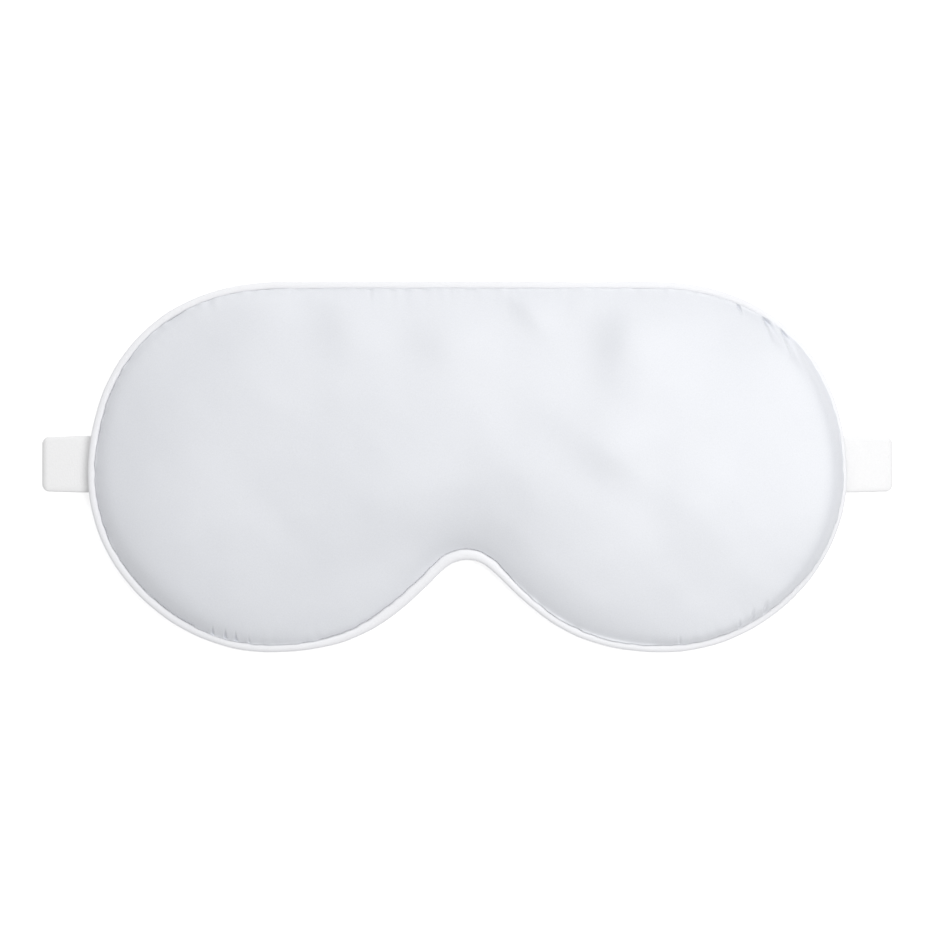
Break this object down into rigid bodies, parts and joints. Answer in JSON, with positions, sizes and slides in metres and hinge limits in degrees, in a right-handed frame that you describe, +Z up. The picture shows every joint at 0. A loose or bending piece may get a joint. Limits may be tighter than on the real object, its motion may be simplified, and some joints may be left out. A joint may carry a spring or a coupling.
{
  "type": "sleep mask",
  "caption": "Padded sleep mask with a piped edge, a notch for the nose and an elastic head strap folded behind it.",
  "frame": {"origin": "on the surface that the mask lies on, under the middle of its outline", "axes": "+X to the right in the front view, +Y towards the forehead edge, +Z up, out of the front panel"},
  "size_m": [0.2242, 0.0976, 0.0111],
  "materials": {
    "silk_satin": "cool white silk satin with a soft sheen",
    "piping_silk": "white silk bias strip, tight over its cord",
    "wadding": "soft white wadding",
    "blackout_cloth": "dense matte dark cloth",
    "cotton": "white cotton cord and thread",
    "elastic": "matte white plush elastic"
  },
  "bodies": {
    "strap": {"strap_band": "elastic", "left_strap_fold": "elastic", "right_strap_fold": "elastic"},
    "mask": {"front_panel": "silk_satin", "back_panel": "silk_satin", "front_padding": "wadding", "back_padding": "wadding", "blackout_lining": "blackout_cloth", "piping_cover": "piping_silk", "piping_cord": "cotton", "seam_thread": "cotton", "left_strap_end": "elastic", "right_strap_end": "elastic", "left_bar_tack": "cotton", "right_bar_tack": "cotton"}
  },
  "joints": [
    {"name": "strap_stretch", "type": "slide", "parent": "strap", "child": "mask", "axis": [0, 0, 1], "range_m": [0, 0.09], "stiffness_N_per_m": 64, "deforming": ["left_strap_fold", "right_strap_fold"]}
  ]
}
